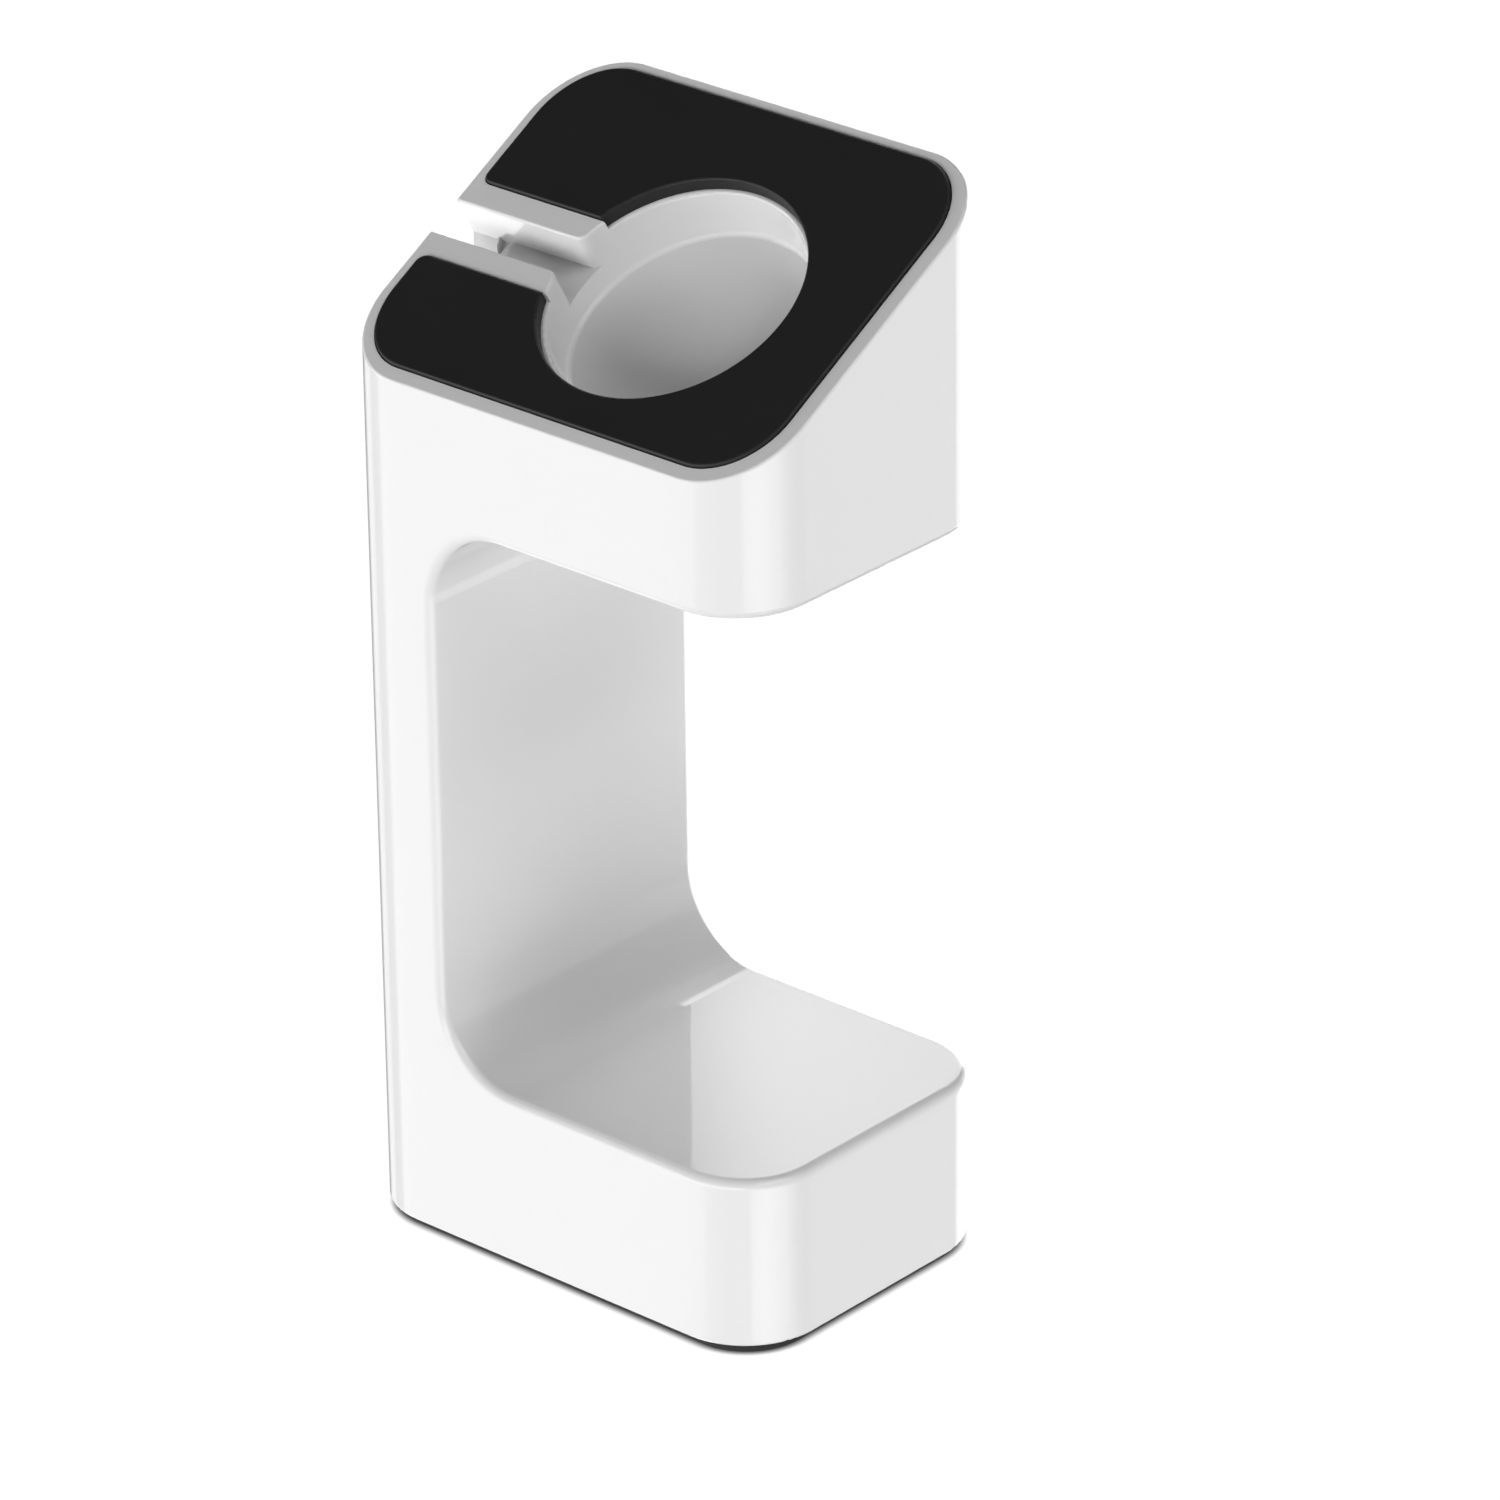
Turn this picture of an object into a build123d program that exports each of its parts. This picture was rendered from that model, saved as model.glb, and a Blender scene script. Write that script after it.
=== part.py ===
from build123d import *
import os
from math import sin, cos, tan, radians

os.makedirs("parts", exist_ok=True)

# ---------------------------------------------------------------------------
# Driving dimensions, millimetres.
# +X runs from the column to the free ends of base and head, +Y up the slope
# of the head, +Z up. The origin is on the table, under the middle of the foot.
# ---------------------------------------------------------------------------
length = 57.0            # over X
width = 39.8             # over Y
foot_t = 1.0             # rubber sheet under the base
foot_inset = 1.15
foot_corner_r = 7.0
corner_r = 9.0           # vertical corners of the column and the head
base_end_r = 9.0         # vertical corners at the free end of the base
base_top = 20.3
head_low = 83.6          # underside of the head
column_in = -14.9        # inner face of the column
open_r = 9.45            # inside corners of the C
edge_r = 1.03            # rounded edge all round the C
slope = 29.8             # degrees, rising towards +Y
top_mid = 109.6          # height of the sloping face at y = 0

wall = 2.0
deck_t = 2.0             # below the pad's pocket
liner_t = 1.8
seam = edge_r + 0.1      # parting line, just outside the rounded edge
fit_gap = 0.1

# pad pocket in the sloping face (x along X, v along the slope, from y = 0)
rim_col, rim_end, rim_low, rim_high = 1.15, 1.85, 1.6, 1.3
pocket_d = 1.2
pocket_a, pocket_b = 7.5, 8.9      # corner radii along x and along v
pad_gap = 0.13
pad_proud = 0.35
pad_edge_r = 0.3
pad_hole_gap = 0.5

# keyhole in the sloping face: round well, straight slot to the column side
well_x, well_v = 3.1, -2.3
well_r = 14.1
well_d = 7.5
well_lip_r = 0.3
well_floor_r = 0.5
key_r = 1.4              # upright corners where the slot opens into the well
slot_w = 4.4
slot_d = 4.5
slot_border = 2.95
slot_corner_r = 1.3

# groove down the column's outer face
groove_w = 4.6
groove_d = 4.3
groove_floor_r = 1.0
bend_r = 2.0            # where the slot's floor turns down into the groove
chan_wall = 1.8
nub_r = 0.75
nub_z = (18.0, 53.0, 88.0)
nub_len = 5.0

lip_r = 0.28             # broken edge round the sloping face
foot_edge_r = 0.3        # broken edge round the bottom

cover_t = 2.4
boss_r = 3.3
boss_at = ((-18.5, 13.4), (19.6, 13.2))
screw_r = 1.2
screw_head_r = 2.2
screw_head_t = 1.2
ballast_t = 8.0

half_l, half_w = length / 2, width / 2
s, c = sin(radians(slope)), cos(radians(slope))
BIG = 200.0

deck = Plane(origin=(0, 0, top_mid), x_dir=(1, 0, 0), z_dir=(0, -s, c))


# ---------------------------------------------------------------------------
# helpers
# ---------------------------------------------------------------------------
def soft_rect(x0, x1, y0, y1, a0, b0, a1, b1):
    """Rectangle with rounded corners: radii a0 (x), b0 (y) on the low-x side and a1, b1 on the high-x side."""
    def corner(cx, cy, a, b, start):
        if abs(a - b) < 1e-9:
            return CenterArc((cx, cy), a, start, 90)
        return EllipticalCenterArc((cx, cy), a, b, start_angle=start, arc_size=90)

    with BuildSketch() as sk:
        with BuildLine():
            Line((x0 + a0, y0), (x1 - a1, y0))
            corner(x1 - a1, y0 + b1, a1, b1, 270)
            Line((x1, y0 + b1), (x1, y1 - b1))
            corner(x1 - a1, y1 - b1, a1, b1, 0)
            Line((x1 - a1, y1), (x0 + a0, y1))
            corner(x0 + a0, y1 - b0, a0, b0, 90)
            Line((x0, y1 - b0), (x0, y0 + b0))
            corner(x0 + a0, y0 + b0, a0, b0, 180)
        make_face()
    return sk.sketch


def plan(inset, r_end):
    """Outline seen from above, drawn in by inset."""
    return soft_rect(
        -half_l + inset, half_l - inset, -half_w + inset, half_w - inset,
        corner_r - inset, corner_r - inset, r_end - inset, r_end - inset,
    )


def block(x0, x1, y0, y1, z0, z1):
    return Pos((x0 + x1) / 2, (y0 + y1) / 2, (z0 + z1) / 2) * Box(x1 - x0, y1 - y0, z1 - z0)


def post(x, y, r, z0, z1):
    return Pos(x, y, (z0 + z1) / 2) * Cylinder(r, z1 - z0)


def tower(inset, z0, z1):
    """Upright body on the outline: the base's own free-end corners below mid height, the head's above."""
    mid = (base_top + head_low) / 2
    low = Pos(0, 0, z0) * extrude(plan(inset, base_end_r), amount=mid - z0)
    high = Pos(0, 0, mid) * extrude(plan(inset, corner_r), amount=z1 - mid)
    return low, high


def opening(grow=0.0):
    """The C's opening, right through along Y, grown outwards by grow."""
    r = open_r + grow
    x0, z0, z1, x1 = column_in - grow, base_top - grow, head_low + grow, half_l + 20
    with BuildSketch(Plane.XZ) as sk:
        with BuildLine():
            Line((x1, z0), (x0 + r, z0))
            CenterArc((x0 + r, z0 + r), r, 270, -90)
            Line((x0, z0 + r), (x0, z1 - r))
            CenterArc((x0 + r, z1 - r), r, 180, -90)
            Line((x0 + r, z1), (x1, z1))
            Line((x1, z1), (x1, z0))
        make_face()
    return extrude(sk.sketch, amount=half_w + 10, both=True)


def deck_block(sketch, d0, d1):
    """Block under the sloping face, between the depths d0 and d1, measured square to it."""
    return deck * (Pos(0, 0, -d1) * extrude(sketch, amount=d1 - d0))


def rect(x0, x1, y0, y1):
    return Pos((x0 + x1) / 2, (y0 + y1) / 2) * Rectangle(x1 - x0, y1 - y0)


def disc(x, y, r):
    return Pos(x, y) * Circle(r)


def depth(p):
    """How far a point lies below the sloping face, square to it."""
    return -(deck.to_local_coords(Vector(p.X, p.Y, p.Z)).Z)


def on_opening(p):
    """Whether a point lies on the opening's outline, seen along Y."""
    r = open_r
    x, z = p.X, p.Z
    mid = (base_top + head_low) / 2
    near = z if z < mid else base_top + head_low - z
    if x >= column_in + r:
        return abs(near - base_top) < 1e-4
    if near >= base_top + r:
        return abs(x - column_in) < 1e-4
    dx, dz = x - (column_in + r), near - (base_top + r)
    return abs((dx * dx + dz * dz) ** 0.5 - r) < 1e-4


def runs_along_y(e):
    d = (e @ 1) - (e @ 0)
    return abs(d.X) < 1e-6 and abs(d.Z) < 1e-6


# ---------------------------------------------------------------------------
# The outside form: rounded upright block, C opening, sloping top, all edges
# broken. The shell and the liner are both cut from it.
# ---------------------------------------------------------------------------
low, high = tower(0.0, foot_t, 140.0)
form = (low - opening()) + (high - opening())
form = form - deck_block(rect(-BIG, BIG, -BIG, BIG), -60, 0)

c_edges = [
    e for e in form.edges()
    if on_opening(e @ 0) and on_opening(e @ 0.5) and on_opening(e @ 1)
    and not (runs_along_y(e) and (e @ 0.5).X < half_l - 1)
]
form = fillet(c_edges, edge_r)

slot_lo, slot_hi = well_v - slot_w / 2, well_v + slot_w / 2
# the keyhole seen square to the slope: slot and well in one outline, with the
# corners between them rounded
keyhole = rect(-half_l - 5, well_x, slot_lo, slot_hi) + disc(well_x, well_v, well_r)
key_corners = [
    v for v in keyhole.vertices()
    if abs(((v.X - well_x) ** 2 + (v.Y - well_v) ** 2) ** 0.5 - well_r) < 1e-4 and v.X < well_x
    and abs(abs(v.Y - well_v) - slot_w / 2) < 1e-4
]
keyhole = fillet(key_corners, key_r)
slot_cut = deck_block(keyhole, -5, slot_d)
# the well below the slot's floor: its wall, floor and the small radius between
with BuildSketch(Plane.XZ) as well_sk:
    with BuildLine():
        Line((0, -well_d), (well_r - well_floor_r, -well_d))
        CenterArc((well_r - well_floor_r, -well_d + well_floor_r), well_floor_r, 270, 90)
        Line((well_r, -well_d + well_floor_r), (well_r, -slot_d + 1))
        Line((well_r, -slot_d + 1), (0, -slot_d + 1))
        Line((0, -slot_d + 1), (0, -well_d))
    make_face()
well_cut = deck * (Pos(well_x, well_v, 0) * revolve(well_sk.sketch, Axis.Z))

# the groove's section, with its floor's corners rounded
with BuildSketch() as groove_sk:
    gx, gy = -half_l, groove_w / 2
    with BuildLine():
        Line((gx - 5, -gy), (gx + groove_d - groove_floor_r, -gy))
        CenterArc((gx + groove_d - groove_floor_r, -gy + groove_floor_r), groove_floor_r, 270, 90)
        Line((gx + groove_d, -gy + groove_floor_r), (gx + groove_d, gy - groove_floor_r))
        CenterArc((gx + groove_d - groove_floor_r, gy - groove_floor_r), groove_floor_r, 0, 90)
        Line((gx + groove_d - groove_floor_r, gy), (gx - 5, gy))
        Line((gx - 5, gy), (gx - 5, -gy))
    make_face()
# the slot's walls are square to the slope, so they lean; each leads into the
# groove's upright wall at the depth where the two cross
d_near = (-groove_w / 2 - slot_lo * c) / s
d_far = (groove_w / 2 - slot_hi * c) / s
in_groove = (-half_l - 6, -half_l + groove_d + 1)
groove_top = deck_block(rect(*in_groove, -150, slot_hi), d_near, 150) + deck_block(rect(*in_groove, -150, 150), d_far, 150)
groove_cut = (Pos(0, 0, -5) * extrude(groove_sk.sketch, amount=135)) & groove_top

# the liner's share of the form: the rounded edge with a thin inner panel
cavity_plan_low, cavity_plan_high = tower(wall + fit_gap / 2, -10.0, 140.0)
panel = ((cavity_plan_low + cavity_plan_high) & opening(liner_t)) - opening()
panel = panel & (block(-half_l, half_l, -half_w, half_w, 0, head_low + 10))
edge_ring = form & opening(seam)
liner = edge_ring + panel

# ---------------------------------------------------------------------------
# outer_shell
# ---------------------------------------------------------------------------
shell = form - opening(seam) - slot_cut - well_cut - groove_cut


def on_outline(p):
    """Whether a point lies on the outline seen from above."""
    q = abs(p.X), abs(p.Y)
    r = corner_r
    if q[0] > half_l - r and q[1] > half_w - r:
        return abs(((q[0] - half_l + r) ** 2 + (q[1] - half_w + r) ** 2) ** 0.5 - r) < 1e-4
    return abs(q[0] - half_l) < 1e-4 or abs(q[1] - half_w) < 1e-4


# one rounded edge runs round the sloping face, along the slot, round the well
# and down the slot's mouth
rim_edges = [
    e for e in shell.edges()
    if abs(depth(e @ 0)) < 1e-4 and abs(depth(e @ 0.5)) < 1e-4 and abs(depth(e @ 1)) < 1e-4
]
mouth_edges = [
    e for e in shell.edges()
    if abs((e @ 0).X + half_l) < 1e-4 and abs((e @ 1).X + half_l) < 1e-4 and abs((e @ 0.5).X + half_l) < 1e-4
    and abs((e @ 0.5).Y) < groove_w / 2 + 2 and abs((e @ 1).Z - (e @ 0).Z) > 0.5
]
shell = fillet(rim_edges + mouth_edges, lip_r)
# the slot's floor turns down into the groove over a rounded corner
bend = Pos(-half_l + groove_d + bend_r / 2 - 0.005, well_v, -slot_d - bend_r / 2 + 0.005) * Box(bend_r + 0.01, slot_w, bend_r + 0.01)
bend = bend - Pos(-half_l + groove_d + bend_r, well_v, -slot_d - bend_r) * Rot(90, 0, 0) * Cylinder(bend_r, slot_w + 2)
shell = shell - ((deck * bend) & block(-half_l, 0, -BIG, groove_w / 2, 0, 200))

bottom_edges = [
    e for e in shell.edges()
    if abs((e @ 0).Z - foot_t) < 1e-4 and abs((e @ 1).Z - foot_t) < 1e-4
    and not ((e @ 0.5).X < -half_l + groove_d + 0.01 and abs((e @ 0.5).Y) < groove_w / 2 + 0.01)
]
shell = fillet(bottom_edges, foot_edge_r)

# what stands inside the hollow and is moulded with the walls
chan_w = groove_w / 2 + chan_wall
channel = block(-half_l, -half_l + groove_d + chan_wall, -chan_w, chan_w, foot_t, 130)
trough = deck_block(rect(-half_l, well_x, slot_lo - chan_wall, slot_hi + chan_wall), 0, slot_d + chan_wall)
cup = deck_block(disc(well_x, well_v, well_r + wall), 0, well_d + wall)
boss_top = 16.0
bosses = None
for bx, by in boss_at:
    for sy in (-1, 1):
        one = post(bx, sy * by, boss_r, foot_t + cover_t, boss_top)
        # web from the boss out to the side wall
        y_in, y_out = sorted((sy * by, sy * (half_w - 0.5)))
        one = one + block(bx - 0.8, bx + 0.8, y_in, y_out, foot_t + cover_t, boss_top)
        bosses = one if bosses is None else bosses + one
ribs = None
for rx in (-6.0, 8.0):
    for sy in (-1, 1):
        y_in, y_out = sorted((sy * 13.6, sy * (half_w - 0.5)))
        # lower ribs: hold the ballast down and carry the liner's base panel
        rib = block(rx - 0.8, rx + 0.8, y_in, y_out, foot_t + cover_t + ballast_t + 0.05, base_top - liner_t - 0.05)
        # upper ribs: reach from the liner's head panel to the deck
        rib = rib + block(rx + 5.2, rx + 6.8, y_in, y_out, head_low + liner_t + 0.05, 125)
        ribs = rib if ribs is None else ribs + rib
# catches for the liner's hooks, on both sides of the groove's channel
catch_z = (38.0, 66.0)
for cz in catch_z:
    for sy in (-1, 1):
        y_in, y_out = sorted((sy * (chan_w - 0.5), sy * (chan_w + 0.7)))
        ribs = ribs + block(-23.6, -22.4, y_in, y_out, cz - 3.5, cz + 3.5)

cav_low, cav_high = tower(wall, -10.0, 140.0)
cavity = (cav_low + cav_high) & deck_block(rect(-BIG, BIG, -BIG, BIG), pocket_d + deck_t, 200)
cavity = cavity - channel - trough - cup - bosses - ribs
shell = shell - cavity

# pocket for the pad, all but the border along the slot
pocket_x0, pocket_x1 = -half_l + rim_col, half_l - rim_end
pocket_v0, pocket_v1 = -half_w / c + rim_low, half_w / c - rim_high
band_lo, band_hi = slot_lo - slot_border, slot_hi + slot_border


def pad_outline(inset, hole_r):
    face = soft_rect(
        pocket_x0 + inset, pocket_x1 - inset, pocket_v0 + inset, pocket_v1 - inset,
        pocket_a - inset, pocket_b - inset, pocket_a - inset, pocket_b - inset,
    )
    face = face - rect(-half_l - 10, well_x, band_lo - inset, band_hi + inset)
    horns = [
        v for v in face.vertices()
        if abs(v.X - (pocket_x0 + inset)) < 1e-4 and band_lo - inset - 1e-4 < v.Y < band_hi + inset + 1e-4
    ]
    face = fillet(horns, slot_corner_r - inset)
    return face - disc(well_x, well_v, hole_r) if hole_r else face


shell = shell - deck_block(pad_outline(0.0, 0), -0.5, pocket_d)
# the well's edge at the pocket's floor is broken all round, but for the borders,
# which run up to the well at full height
with BuildSketch(Plane.XZ) as lip_sk:
    with BuildLine():
        Line((well_r - 0.5, -pocket_d - well_lip_r), (well_r, -pocket_d - well_lip_r))
        CenterArc((well_r + well_lip_r, -pocket_d - well_lip_r), well_lip_r, 180, -90)
        Line((well_r + well_lip_r, -pocket_d), (well_r + well_lip_r, -pocket_d + 0.5))
        Line((well_r + well_lip_r, -pocket_d + 0.5), (well_r - 0.5, -pocket_d + 0.5))
        Line((well_r - 0.5, -pocket_d + 0.5), (well_r - 0.5, -pocket_d - well_lip_r))
    make_face()
lip_cut = deck * (Pos(well_x, well_v, 0) * revolve(lip_sk.sketch, Axis.Z))
shell = shell - (lip_cut - deck_block(rect(-half_l - 10, well_x, band_lo, band_hi), -5, 10))

# blind pilot holes for the cover's screws
for bx, by in boss_at:
    for sy in (-1, 1):
        shell = shell - post(bx, sy * by, screw_r + 0.01, 0.0, boss_top - 2.0)

# small nubs in the groove's mouth: upright half-rounds with ball ends
for nz in nub_z:
    for sy in (-1, 1):
        nx, ny = -half_l + 1.35, sy * (groove_w / 2 + 0.15)
        nub = post(nx, ny, nub_r, nz - nub_len / 2, nz + nub_len / 2)
        nub = nub + Pos(nx, ny, nz - nub_len / 2) * Sphere(nub_r) + Pos(nx, ny, nz + nub_len / 2) * Sphere(nub_r)
        shell = shell + nub

# ---------------------------------------------------------------------------
# inner_liner: hooks that snap behind the column's catches
# ---------------------------------------------------------------------------
hook_y = chan_w + 0.8
for cz in catch_z:
    for sy in (-1, 1):
        y_in, y_out = sorted((sy * hook_y, sy * (hook_y + 1.3)))
        liner = liner + block(-25.2, column_in - liner_t / 2, y_in, y_out, cz - 3.0, cz + 3.0)
        with BuildSketch(Plane.XY.offset(cz - 3.0)) as barb:
            Polygon(
                (-25.2, sy * (hook_y + 0.2)), (-25.2, sy * hook_y), (-24.3, sy * (hook_y - 0.65)),
                (-23.75, sy * (hook_y - 0.65)), (-23.75, sy * (hook_y + 0.2)), align=None,
            )
        liner = liner + extrude(barb.sketch, amount=6.0)

# ---------------------------------------------------------------------------
# top_pad
# ---------------------------------------------------------------------------
pad = deck_block(pad_outline(pad_gap, well_r + pad_hole_gap), -pad_proud, pocket_d)
pad_top_edges = [
    e for e in pad.edges()
    if abs(depth(e @ 0) + pad_proud) < 1e-4 and abs(depth(e @ 0.5) + pad_proud) < 1e-4
]
pad = fillet(pad_top_edges, pad_edge_r)

# ---------------------------------------------------------------------------
# base_cover, foot_pad, ballast, base_screws
# ---------------------------------------------------------------------------
cover_in = wall + fit_gap
cover = Pos(0, 0, foot_t) * extrude(plan(cover_in, base_end_r), amount=cover_t)
cover = cover - block(-BIG, -half_l + groove_d + chan_wall + fit_gap, -chan_w - fit_gap, chan_w + fit_gap, -5, 10)
for bx, by in boss_at:
    for sy in (-1, 1):
        cover = cover - post(bx, sy * by, screw_r + 0.2, -5, 10)
        cover = cover - post(bx, sy * by, screw_head_r + 0.2, -5, foot_t + screw_head_t + 0.1)

foot = extrude(
    soft_rect(
        -half_l + foot_inset, half_l - foot_inset, -half_w + foot_inset, half_w - foot_inset,
        foot_corner_r, foot_corner_r, foot_corner_r, foot_corner_r,
    ),
    amount=foot_t,
)

bz0, bz1 = foot_t + cover_t, foot_t + cover_t + ballast_t
ballast = block(-21.5, 23.4, -9.0, 9.0, bz0, bz1) + block(-13.8, 14.9, -16.6, 16.6, bz0, bz1)
ballast = fillet(ballast.edges().filter_by(Axis.Z), 0.8)

screws = []
for bx, by in boss_at:
    for sy in (-1, 1):
        z0 = foot_t + 0.05
        head = post(bx, sy * by, screw_head_r, z0, z0 + screw_head_t)
        shank = post(bx, sy * by, screw_r, z0 + screw_head_t, boss_top - 3.6)
        tip = Pos(bx, sy * by, boss_top - 3.6 + 0.6) * Cone(screw_r, 0.4, 1.2)
        one = head + shank + tip
        for turn in (0, 90):
            one = one - (Pos(bx, sy * by, z0 + 0.35) * Rot(0, 0, turn) * Box(2.4, 0.55, 0.7))
        screws.append(one)
screws = Compound(children=[Solid(x.solids()[0].wrapped) for x in screws])

for name, shape in (
    ("outer_shell", shell),
    ("inner_liner", liner),
    ("top_pad", pad),
    ("base_cover", cover),
    ("foot_pad", foot),
    ("ballast", ballast),
    ("base_screws", screws),
):
    shape.label = name
    n = len(shape.solids())
    print(name, "solids", n, "volume", round(shape.volume, 1), "valid", shape.is_valid)
    export_step(shape, f"parts/{name}.step")
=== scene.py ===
from math import sin, cos, radians, degrees

import bpy
from mathutils import Matrix, Vector

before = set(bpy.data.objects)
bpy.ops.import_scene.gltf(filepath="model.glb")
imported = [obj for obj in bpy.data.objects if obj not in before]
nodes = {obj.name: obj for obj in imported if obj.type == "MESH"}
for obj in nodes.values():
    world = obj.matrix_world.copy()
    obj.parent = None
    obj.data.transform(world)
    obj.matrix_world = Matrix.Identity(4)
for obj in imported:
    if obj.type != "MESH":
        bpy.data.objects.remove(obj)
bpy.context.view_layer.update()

scene = bpy.context.scene

# the dock's own figures, in metres, as the CAD has them
SLOPE = radians(29.8)
TOP_MID = 0.1096
MM = 0.001


# ---------------------------------------------------------------------------
# Small helper for writing shader maths as expressions
# ---------------------------------------------------------------------------
class Wire:
    """An output socket that can be added, multiplied and so on."""

    def __init__(self, tree, sock):
        self.tree, self.sock = tree, sock

    def _math(self, op, *args, clamp=False):
        n = self.tree.nodes.new("ShaderNodeMath")
        n.operation, n.use_clamp = op, clamp
        for i, a in enumerate((self,) + args):
            if isinstance(a, Wire):
                self.tree.links.new(a.sock, n.inputs[i])
            else:
                n.inputs[i].default_value = a
        return Wire(self.tree, n.outputs[0])

    def __add__(self, o): return self._math("ADD", o)
    def __radd__(self, o): return self._math("ADD", o)
    def __sub__(self, o): return self._math("SUBTRACT", o)
    def __mul__(self, o): return self._math("MULTIPLY", o)
    def __rmul__(self, o): return self._math("MULTIPLY", o)
    def __neg__(self): return self._math("MULTIPLY", -1.0)
    def abs(self): return self._math("ABSOLUTE")
    def inv(self): return (self * -1.0) + 1.0

    def ramp(self, lo, hi, a=0.0, b=1.0, smooth=True):
        """a below lo, b above hi, eased in between."""
        n = self.tree.nodes.new("ShaderNodeMapRange")
        n.interpolation_type = "SMOOTHSTEP" if smooth else "LINEAR"
        n.clamp = True
        self.tree.links.new(self.sock, n.inputs["Value"])
        n.inputs["From Min"].default_value = lo
        n.inputs["From Max"].default_value = hi
        n.inputs["To Min"].default_value = a
        n.inputs["To Max"].default_value = b
        return Wire(self.tree, n.outputs["Result"])


def xyz(tree, vector_socket):
    n = tree.nodes.new("ShaderNodeSeparateXYZ")
    tree.links.new(vector_socket, n.inputs[0])
    return [Wire(tree, n.outputs[i]) for i in range(3)]


# ---------------------------------------------------------------------------
# Studio light: soft panels all round at a great distance. Azimuth 0 is the
# dock's front (-Y), 90 its open end (+X); levels are plain radiances.
# ---------------------------------------------------------------------------
# (from azimuth, to azimuth, from elevation, to elevation, level)
PANELS = (
    # well below table height
    (-69, 59, -52, -34, 0.20),
    (59, 112, -52, -34, 0.19),
    (112, 162, -52, -34, 0.10),
    (196, 248, -52, -34, 2.20),
    (248, 291, -52, -34, 2.34),
    # below table height: these show in the upright faces and their corners
    (-69, -42, -34, -8, 1.74),
    (-42, -15, -34, -8, 1.43),
    (-15, 7, -34, -8, 0.35),
    (7, 30, -34, -8, 0.25),
    (30, 48, -34, -8, 0.65),
    (48, 59, -34, -8, 2.40),
    (59, 82, -34, -8, 3.31),
    (82, 100, -34, -8, 2.75),
    (100, 112, -34, -8, 1.65),
    (112, 134.5, -34, -8, 0.85),
    (134.5, 138.2, -34, -8, 0.20),
    (138.2, 162, -34, -8, 1.30),
    (162, 182, -34, -8, 2.60),
    (182, 196, -34, -8, 2.20),
    (196, 222, -34, -8, 1.40),
    (222, 248, -34, -8, 0.19),
    (248, 270, -34, -8, 1.12),
    (270, 291, -34, -8, 0.48),
    # at table height
    (-69, -15, -8, 12, 3.69),
    (-15, 41, -8, 12, 4.00),
    (124, 162, -8, 12, 0.81),
    (162, 196, -8, 12, 1.14),
    (196, 222, -8, 12, 4.00),
    # above: these show in the base's top and in the rounded edges
    (196, 222, 12, 34, 3.60),
    (60, 120, 34, 52, 2.65),
    (177, 196, 34, 52, 0.30),
    (196, 222, 34, 52, 0.80),
    (60, 120, 52, 66, 2.96),
)
BELOW = 0.28             # everything under -52 degrees
EDGE_AZ, EDGE_EL = 0.8, 1.5


def build_world():
    world = bpy.data.worlds.new("studio")
    scene.world = world
    world.use_nodes = True
    t = world.node_tree
    t.nodes.clear()
    out = t.nodes.new("ShaderNodeOutputWorld")
    coord = t.nodes.new("ShaderNodeTexCoord")
    x, y, z = xyz(t, coord.outputs["Generated"])
    az = x._math("ARCTAN2", -y) * degrees(1.0)
    el = z._math("ARCSINE") * degrees(1.0)
    total = el.ramp(-52 - EDGE_EL, -52 + EDGE_EL, BELOW, 0.0)
    for a0, a1, low, high, level in PANELS:
        half = (a1 - a0) / 2.0
        off = (az - (a0 + a1) / 2.0)._math("WRAP", 180.0, -180.0).abs()
        part = off.ramp(half - EDGE_AZ, half + EDGE_AZ, level, 0.0)
        part = part * el.ramp(low - EDGE_EL, low + EDGE_EL)
        part = part * el.ramp(high - EDGE_EL, high + EDGE_EL, 1.0, 0.0)
        total = total + part
    light = t.nodes.new("ShaderNodeBackground")
    light.inputs["Color"].default_value = (1, 1, 1, 1)
    t.links.new(total.sock, light.inputs["Strength"])
    # the studio's plain white backdrop, as seen straight on
    sweep = t.nodes.new("ShaderNodeBackground")
    sweep.inputs["Color"].default_value = (1, 1, 1, 1)
    sweep.inputs["Strength"].default_value = 1.6
    path = t.nodes.new("ShaderNodeLightPath")
    mix = t.nodes.new("ShaderNodeMixShader")
    t.links.new(path.outputs["Is Camera Ray"], mix.inputs[0])
    t.links.new(light.outputs[0], mix.inputs[1])
    t.links.new(sweep.outputs[0], mix.inputs[2])
    t.links.new(mix.outputs[0], out.inputs["Surface"])


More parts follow.
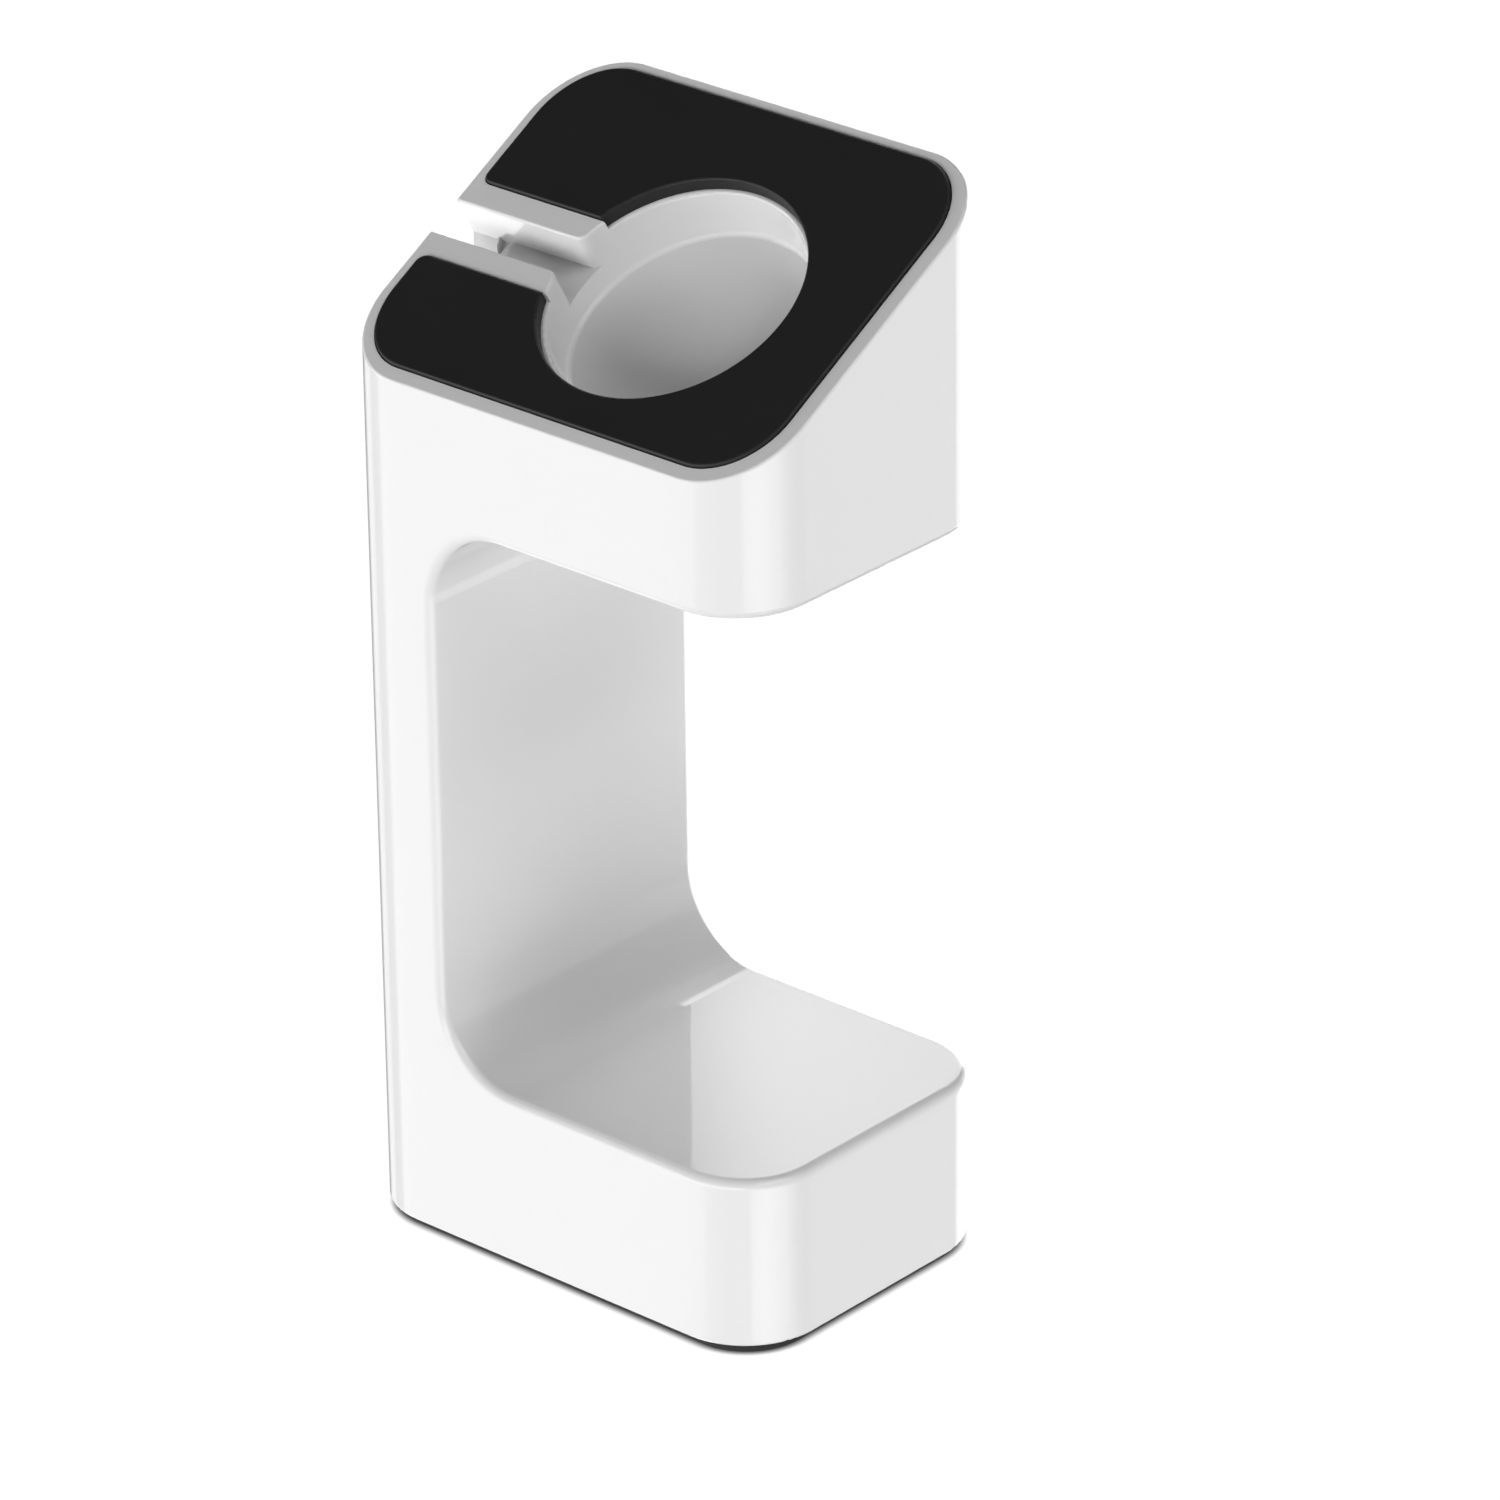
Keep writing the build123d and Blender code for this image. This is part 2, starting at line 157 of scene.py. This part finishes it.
# ---------------------------------------------------------------------------
# Floor: plain white sweep that glows evenly, with a painted contact shadow: its glow is dimmed by ambient
# occlusion where the foot meets it
# ---------------------------------------------------------------------------
def build_floor():
    mesh = bpy.data.meshes.new("floor")
    r = 6.0
    mesh.from_pydata([(-r, -r, 0), (r, -r, 0), (r, r, 0), (-r, r, 0)], [], [(0, 1, 2, 3)])
    floor = bpy.data.objects.new("floor", mesh)
    scene.collection.objects.link(floor)
    floor.location.z = -0.00002
    mat = bpy.data.materials.new("floor_white")
    mat.use_nodes = True
    t = mat.node_tree
    t.nodes.clear()
    out = t.nodes.new("ShaderNodeOutputMaterial")
    # painted contact shadow: ambient occlusion within 1.1 mm dims the floor's glow
    contact_occlusion = t.nodes.new("ShaderNodeAmbientOcclusion")
    contact_occlusion.samples = 16
    contact_occlusion.inputs["Distance"].default_value = 1.1 * MM
    floor_glow = t.nodes.new("ShaderNodeEmission")
    floor_glow.inputs["Color"].default_value = (1, 1, 1, 1)
    level = Wire(t, contact_occlusion.outputs["AO"]).ramp(0.42, 0.97, 0.05, 1.04, smooth=False)
    t.links.new(level.sock, floor_glow.inputs["Strength"])
    # clear from below, so that the foot can be looked at
    side = t.nodes.new("ShaderNodeNewGeometry")
    clear = t.nodes.new("ShaderNodeBsdfTransparent")
    mix = t.nodes.new("ShaderNodeMixShader")
    t.links.new(side.outputs["Backfacing"], mix.inputs[0])
    t.links.new(floor_glow.outputs[0], mix.inputs[1])
    t.links.new(clear.outputs[0], mix.inputs[2])
    t.links.new(mix.outputs[0], out.inputs["Surface"])
    mesh.materials.append(mat)
    # the panels below floor level still light the dock
    floor.visible_diffuse = False
    floor.visible_glossy = False
    floor.visible_transmission = False
    floor.visible_shadow = False


# ---------------------------------------------------------------------------
# Materials
# ---------------------------------------------------------------------------
def new_material(name):
    mat = bpy.data.materials.new(name)
    mat.use_nodes = True
    t = mat.node_tree
    t.nodes.clear()
    out = t.nodes.new("ShaderNodeOutputMaterial")
    bsdf = t.nodes.new("ShaderNodeBsdfPrincipled")
    t.links.new(bsdf.outputs[0], out.inputs["Surface"])
    return mat, t, bsdf


def object_coord(t):
    n = t.nodes.new("ShaderNodeTexCoord")
    return n.outputs["Object"]


def noise(t, coord, scale, detail=2.0, rough=0.5, distortion=0.0):
    n = t.nodes.new("ShaderNodeTexNoise")
    n.inputs["Scale"].default_value = scale
    n.inputs["Detail"].default_value = detail
    n.inputs["Roughness"].default_value = rough
    n.inputs["Distortion"].default_value = distortion
    t.links.new(coord, n.inputs["Vector"])
    return Wire(t, n.outputs["Fac"])


def grey(t, wire):
    """A colour from one grey level."""
    n = t.nodes.new("ShaderNodeCombineColor")
    for i in range(3):
        t.links.new(wire.sock, n.inputs[i])
    return n.outputs[0]


def bump(t, height, strength, distance, normal=None):
    n = t.nodes.new("ShaderNodeBump")
    n.inputs["Strength"].default_value = strength
    n.inputs["Distance"].default_value = distance
    t.links.new(height.sock, n.inputs["Height"])
    if normal is not None:
        t.links.new(normal, n.inputs["Normal"])
    return n.outputs["Normal"]


def white_plastic(name):
    """Polished white moulding: faint flow mottling, very slight orange peel, satin on the sloping rim,
    whose colour is also darkened there as painted shade.
    """
    mat, t, bsdf = new_material(name)
    c = object_coord(t)
    broad = noise(t, c, 45.0, 3.0, 0.55)
    fine = noise(t, c, 900.0, 2.0, 0.6)
    peel = noise(t, c, 330.0, 2.0, 0.5)
    geo = t.nodes.new("ShaderNodeNewGeometry")
    nx, ny, nz = xyz(t, geo.outputs["Normal"])
    facing = ny * (-sin(SLOPE)) + nz * cos(SLOPE)
    satin_and_painted_shade = facing.ramp(0.9990, 0.9998)
    level = (broad - 0.5) * 0.018 + (fine - 0.5) * 0.010 + 0.860
    # painted shade: faces square to the sloping top are made 0.12 darker; the roughness rise below is the
    # real satin finish
    level = level - satin_and_painted_shade * 0.12
    t.links.new(grey(t, level), bsdf.inputs["Base Color"])
    rough = (fine - 0.5) * 0.03 + (broad - 0.5) * 0.03 + 0.06
    rough = rough + satin_and_painted_shade * 0.30
    t.links.new(rough.sock, bsdf.inputs["Roughness"])
    bsdf.inputs["IOR"].default_value = 1.5
    grain = bump(t, fine * satin_and_painted_shade, 0.25, 0.00002)
    t.links.new(bump(t, peel, 0.06, 0.00004, grain), bsdf.inputs["Normal"])
    return mat


def black_silicone(name):
    mat, t, bsdf = new_material(name)
    c = object_coord(t)
    broad = noise(t, c, 60.0, 3.0, 0.55)
    grain = noise(t, c, 4200.0, 2.0, 0.6)
    level = (broad - 0.5) * 0.006 + (grain - 0.5) * 0.004 + 0.0155
    t.links.new(grey(t, level), bsdf.inputs["Base Color"])
    rough = (grain - 0.5) * 0.10 + (broad - 0.5) * 0.06 + 0.52
    t.links.new(rough.sock, bsdf.inputs["Roughness"])
    bsdf.inputs["IOR"].default_value = 1.43
    t.links.new(bump(t, grain, 0.25, 0.00003), bsdf.inputs["Normal"])
    return mat


def black_sheet_rubber(name):
    mat, t, bsdf = new_material(name)
    c = object_coord(t)
    broad = noise(t, c, 80.0, 3.0, 0.6)
    grain = noise(t, c, 2600.0, 3.0, 0.65)
    level = (broad - 0.5) * 0.006 + (grain - 0.5) * 0.006 + 0.014
    t.links.new(grey(t, level), bsdf.inputs["Base Color"])
    rough = (grain - 0.5) * 0.14 + 0.70
    t.links.new(rough.sock, bsdf.inputs["Roughness"])
    bsdf.inputs["IOR"].default_value = 1.5
    t.links.new(bump(t, grain, 0.5, 0.00006), bsdf.inputs["Normal"])
    return mat


def raw_plastic(name):
    """Unpolished inside face of the bottom cover."""
    mat, t, bsdf = new_material(name)
    c = object_coord(t)
    broad = noise(t, c, 50.0, 3.0, 0.55)
    spark = noise(t, c, 2200.0, 2.0, 0.6)
    level = (broad - 0.5) * 0.03 + (spark - 0.5) * 0.02 + 0.74
    t.links.new(grey(t, level), bsdf.inputs["Base Color"])
    rough = (spark - 0.5) * 0.12 + 0.46
    t.links.new(rough.sock, bsdf.inputs["Roughness"])
    bsdf.inputs["IOR"].default_value = 1.5
    t.links.new(bump(t, spark, 0.4, 0.00005), bsdf.inputs["Normal"])
    return mat


def steel(name, base, rough0, grain_scale):
    mat, t, bsdf = new_material(name)
    c = object_coord(t)
    broad = noise(t, c, 90.0, 4.0, 0.6)
    grain = noise(t, c, grain_scale, 3.0, 0.6)
    level = (broad - 0.5) * 0.08 + (grain - 0.5) * 0.06 + base
    t.links.new(grey(t, level), bsdf.inputs["Base Color"])
    rough = (grain - 0.5) * 0.15 + rough0
    t.links.new(rough.sock, bsdf.inputs["Roughness"])
    bsdf.inputs["Metallic"].default_value = 1.0
    t.links.new(bump(t, grain, 0.35, 0.00004), bsdf.inputs["Normal"])
    return mat


def dress(node, mat):
    o = nodes[node]
    if o.material_slots:
        for s in o.material_slots:
            s.link = "OBJECT"
            s.material = mat
    else:
        o.data.materials.append(mat)


plastic = white_plastic("white_plastic")
dress("outer_shell", plastic)
dress("inner_liner", plastic)
dress("top_pad", black_silicone("pad_rubber"))
dress("foot_pad", black_sheet_rubber("foot_rubber"))
dress("base_cover", raw_plastic("cover_plastic"))
dress("ballast", steel("ballast_steel", 0.34, 0.45, 1500.0))
dress("base_screws", steel("screw_steel", 0.62, 0.28, 2500.0))


# ---------------------------------------------------------------------------
# Camera: from a fit of the dock's outline
# ---------------------------------------------------------------------------
def build_camera():
    a, e, roll = radians(41.48830), radians(25.48516), radians(-0.63554)
    dist, ox, oy = 0.894512, 0.029716, 0.040780
    back = Vector((sin(a) * cos(e), -cos(a) * cos(e), sin(e)))
    right = Vector((cos(a), sin(a), 0.0))
    up = back.cross(right)
    r2 = right * cos(roll) + up * sin(roll)
    u2 = -right * sin(roll) + up * cos(roll)
    at = back * dist + right * ox + up * oy + Vector((-0.0285, 0.0, 0.001))
    cam_data = bpy.data.cameras.new("camera")
    cam_data.sensor_fit = "HORIZONTAL"
    cam_data.sensor_width = 36.0
    cam_data.lens = 8206.826 / 1500.0 * 36.0
    cam_data.clip_start, cam_data.clip_end = 0.01, 50.0
    cam = bpy.data.objects.new("camera", cam_data)
    m = Matrix.Identity(4)
    for i, v in enumerate((r2, u2, back, at)):
        for j in range(3):
            m[j][i] = v[j]
    cam.matrix_world = m
    scene.collection.objects.link(cam)
    scene.camera = cam


build_world()
build_floor()
build_camera()
scene.view_settings.view_transform = "Standard"
scene.view_settings.look = "None"
scene.view_settings.exposure = 0.0
scene.view_settings.gamma = 1.0

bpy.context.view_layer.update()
